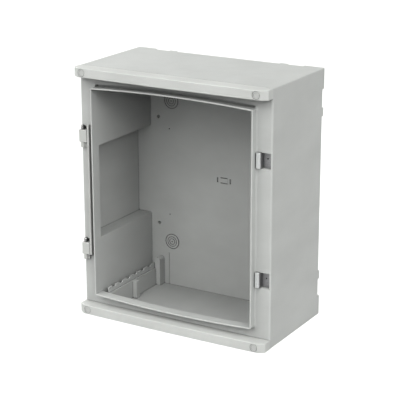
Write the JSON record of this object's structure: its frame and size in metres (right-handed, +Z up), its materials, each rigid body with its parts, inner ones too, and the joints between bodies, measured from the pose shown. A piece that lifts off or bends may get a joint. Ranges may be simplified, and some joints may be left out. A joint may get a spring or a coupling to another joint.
{
  "type": "meter socket enclosure",
  "caption": "Upright moulded wall box with an open front inside a door collar, rain visors above and below, hinge pins on the left, latch keepers on the right and toothed depth racks inside.",
  "frame": {"origin": "centre of the four wall-fixing holes, on the plane of the wall", "axes": "+Z up, +Y into the wall, so the open front faces -Y; +X to the right seen from the front"},
  "size_m": [0.46, 0.26, 0.55],
  "materials": {
    "housing": "fine satin moulded light grey",
    "visor": "fine satin moulded light grey",
    "cap_plastic": "smooth moulded light grey",
    "hinge_plastic": "smooth moulded light grey",
    "keeper_plastic": "smooth moulded pale grey",
    "plug_plastic": "smooth soft grey",
    "foot_plastic": "satin moulded light grey",
    "latch_plate_steel": "dull zinc-plated sheet",
    "steel": "zinc-plated",
    "blackened_steel": "black oxide",
    "insert_brass": "turned"
  },
  "bodies": {
    "enclosure": {"box": "housing", "visor_top": "visor", "visor_bottom": "visor", "visor_screws": "steel", "visor_inserts": "insert_brass", "hinge_bracket_upper": "hinge_plastic", "hinge_bracket_lower": "hinge_plastic", "hinge_strip": "hinge_plastic", "keeper_upper": "keeper_plastic", "keeper_lower": "keeper_plastic", "latch_plate_upper": "latch_plate_steel", "latch_plate_lower": "latch_plate_steel", "keeper_screws": "blackened_steel", "rack_lower_left": "housing", "rack_lower_right": "housing", "rack_upper_left": "housing", "rack_upper_right": "housing", "rack_screws": "steel", "foot_top_left": "foot_plastic", "foot_top_right": "foot_plastic", "foot_bottom_left": "foot_plastic", "foot_bottom_right": "foot_plastic"},
    "cap_top_left": {"cap_top_left": "cap_plastic"},
    "cap_top_right": {"cap_top_right": "cap_plastic"},
    "cap_bottom_left": {"cap_bottom_left": "cap_plastic"},
    "cap_bottom_right": {"cap_bottom_right": "cap_plastic"},
    "cable_plug_top_left": {"cable_plug_top_left": "plug_plastic"},
    "cable_plug_top_right": {"cable_plug_top_right": "plug_plastic"},
    "cable_plug_bottom_left": {"cable_plug_bottom_left": "plug_plastic"},
    "cable_plug_bottom_right": {"cable_plug_bottom_right": "plug_plastic"},
    "hinge_pin_upper": {"hinge_pin_upper": "steel"},
    "hinge_pin_lower": {"hinge_pin_lower": "steel"}
  },
  "joints": [
    {"name": "cap_top_left_pull", "type": "slide", "parent": "enclosure", "child": "cap_top_left", "axis": [0, -1, 0], "range_m": [0, 0.02]},
    {"name": "cap_top_right_pull", "type": "slide", "parent": "enclosure", "child": "cap_top_right", "axis": [0, -1, 0], "range_m": [0, 0.02]},
    {"name": "cap_bottom_left_pull", "type": "slide", "parent": "enclosure", "child": "cap_bottom_left", "axis": [0, -1, 0], "range_m": [0, 0.02]},
    {"name": "cap_bottom_right_pull", "type": "slide", "parent": "enclosure", "child": "cap_bottom_right", "axis": [0, -1, 0], "range_m": [0, 0.02]},
    {"name": "cable_plug_top_left_pull", "type": "slide", "parent": "enclosure", "child": "cable_plug_top_left", "axis": [0, -1, 0], "range_m": [0, 0.03]},
    {"name": "cable_plug_top_right_pull", "type": "slide", "parent": "enclosure", "child": "cable_plug_top_right", "axis": [0, -1, 0], "range_m": [0, 0.03]},
    {"name": "cable_plug_bottom_left_pull", "type": "slide", "parent": "enclosure", "child": "cable_plug_bottom_left", "axis": [0, -1, 0], "range_m": [0, 0.03]},
    {"name": "cable_plug_bottom_right_pull", "type": "slide", "parent": "enclosure", "child": "cable_plug_bottom_right", "axis": [0, -1, 0], "range_m": [0, 0.03]},
    {"name": "hinge_pin_upper_lift", "type": "slide", "parent": "enclosure", "child": "hinge_pin_upper", "axis": [0, 0, 1], "range_m": [0, 0.05]},
    {"name": "hinge_pin_lower_lift", "type": "slide", "parent": "enclosure", "child": "hinge_pin_lower", "axis": [0, 0, 1], "range_m": [0, 0.05]}
  ]
}
